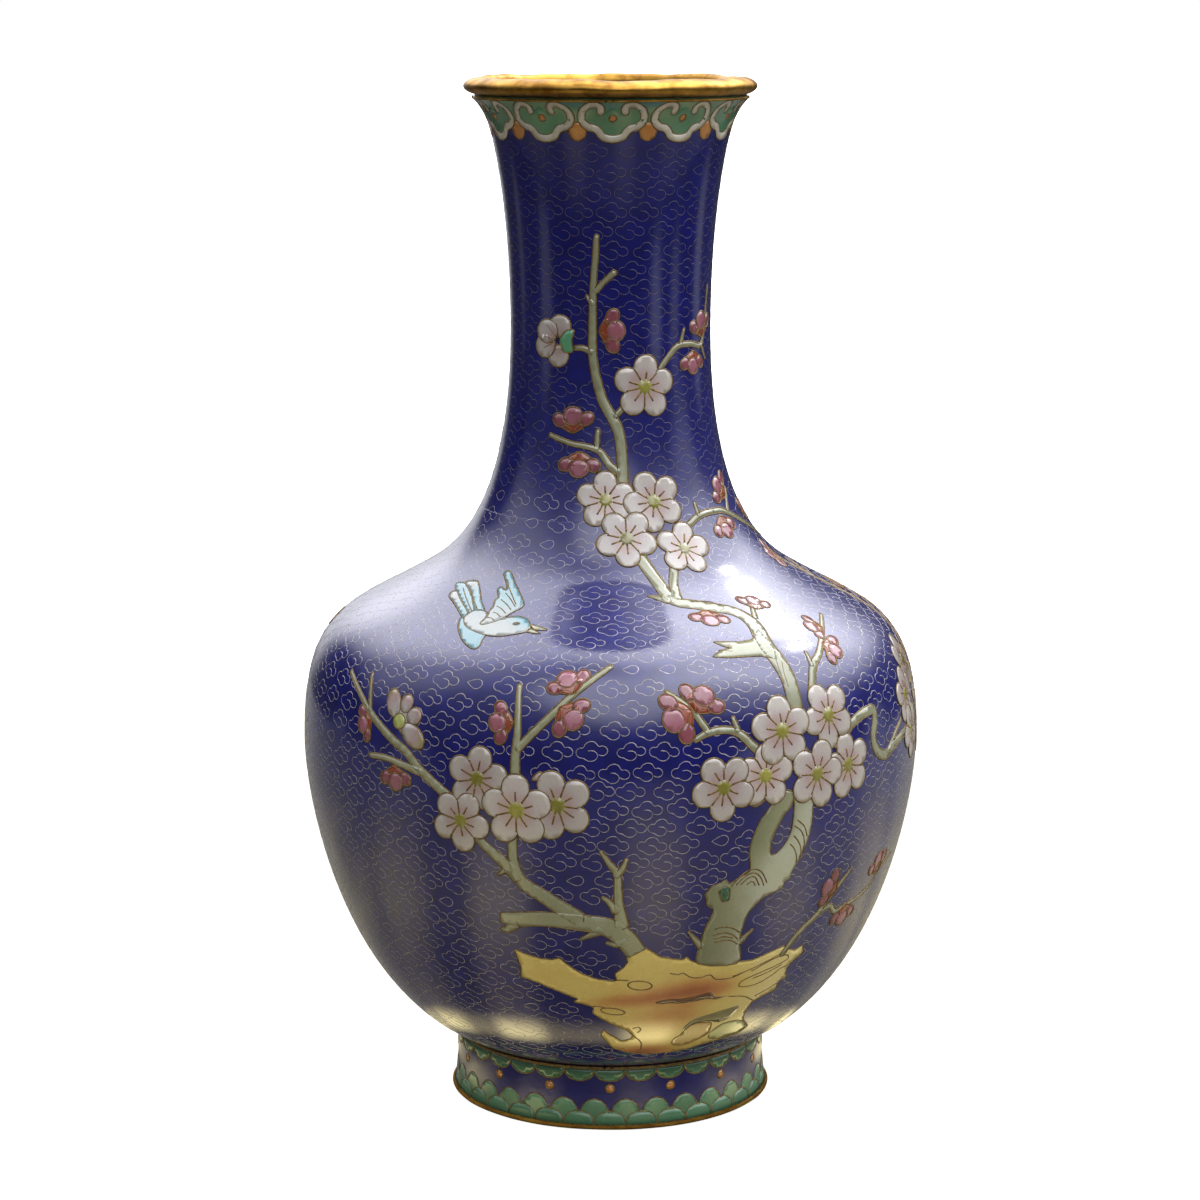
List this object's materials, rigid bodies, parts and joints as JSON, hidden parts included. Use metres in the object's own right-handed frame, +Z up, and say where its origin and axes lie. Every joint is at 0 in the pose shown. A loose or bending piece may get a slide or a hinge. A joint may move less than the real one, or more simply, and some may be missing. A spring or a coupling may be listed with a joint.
{
  "type": "cloisonne vase",
  "caption": "Tall cloisonne enamel vase with a broad shouldered belly, a slender flared neck, gilt lip and foot rims, and plum blossom branches over a blue cloud ground.",
  "frame": {"origin": "centre of the foot's bottom face, on the table", "axes": "+Z up along the vase's axis, -Y towards the front of the decoration, +X to the right of the front"},
  "size_m": [0.153, 0.153, 0.254],
  "materials": {
    "copper": "satin copper",
    "gilt": "soft polished gilding",
    "wire": "worn gilt wire",
    "lining_enamel": "glossy turquoise lining",
    "green_enamel": "glossy green",
    "cobalt_enamel": "glossy cobalt blue",
    "white_enamel": "glossy warm white",
    "amber_enamel": "glossy amber",
    "pale_green_enamel": "glossy pale green",
    "eye_enamel": "glossy yellow green",
    "pink_enamel": "glossy dusty pink",
    "bark_enamel": "glossy sage grey",
    "ochre_enamel": "glossy ochre",
    "turquoise_enamel": "glossy pale turquoise"
  },
  "bodies": {
    "root": {"copper_bowl": "copper", "copper_shoulder": "copper", "copper_neck": "copper", "copper_foot": "copper", "lip_ring": "gilt", "foot_rim": "gilt", "lip_wire": "wire", "belly_foot_wire": "wire", "neck_lining": "lining_enamel", "shoulder_lining": "lining_enamel", "bowl_lining": "lining_enamel", "foot_lining": "lining_enamel", "lip_band": "green_enamel", "neck_ground": "cobalt_enamel", "belly_ground": "cobalt_enamel", "foot_ground": "cobalt_enamel", "ruyi_outlines": "white_enamel", "ruyi_fills": "green_enamel", "ruyi_dots": "amber_enamel", "ruyi_drops": "amber_enamel", "hanging_scales": "green_enamel", "upper_scales": "pale_green_enamel", "lower_scales": "green_enamel", "foot_dots": "amber_enamel", "neck_blossoms": "white_enamel", "shoulder_blossoms": "white_enamel", "right_blossoms": "white_enamel", "left_blossoms": "white_enamel", "back_blossoms": "white_enamel", "neck_eyes": "eye_enamel", "shoulder_eyes": "eye_enamel", "right_eyes": "eye_enamel", "left_eyes": "eye_enamel", "back_eyes": "eye_enamel", "neck_buds": "pink_enamel", "belly_buds": "pink_enamel", "neck_twigs": "bark_enamel", "shoulder_branch": "bark_enamel", "left_branch": "bark_enamel", "back_branch": "bark_enamel", "plum_trunk": "bark_enamel", "garden_rock": "ochre_enamel", "bird_body": "turquoise_enamel", "bird_wings": "turquoise_enamel", "bird_tail": "turquoise_enamel"}
  },
  "joints": []
}
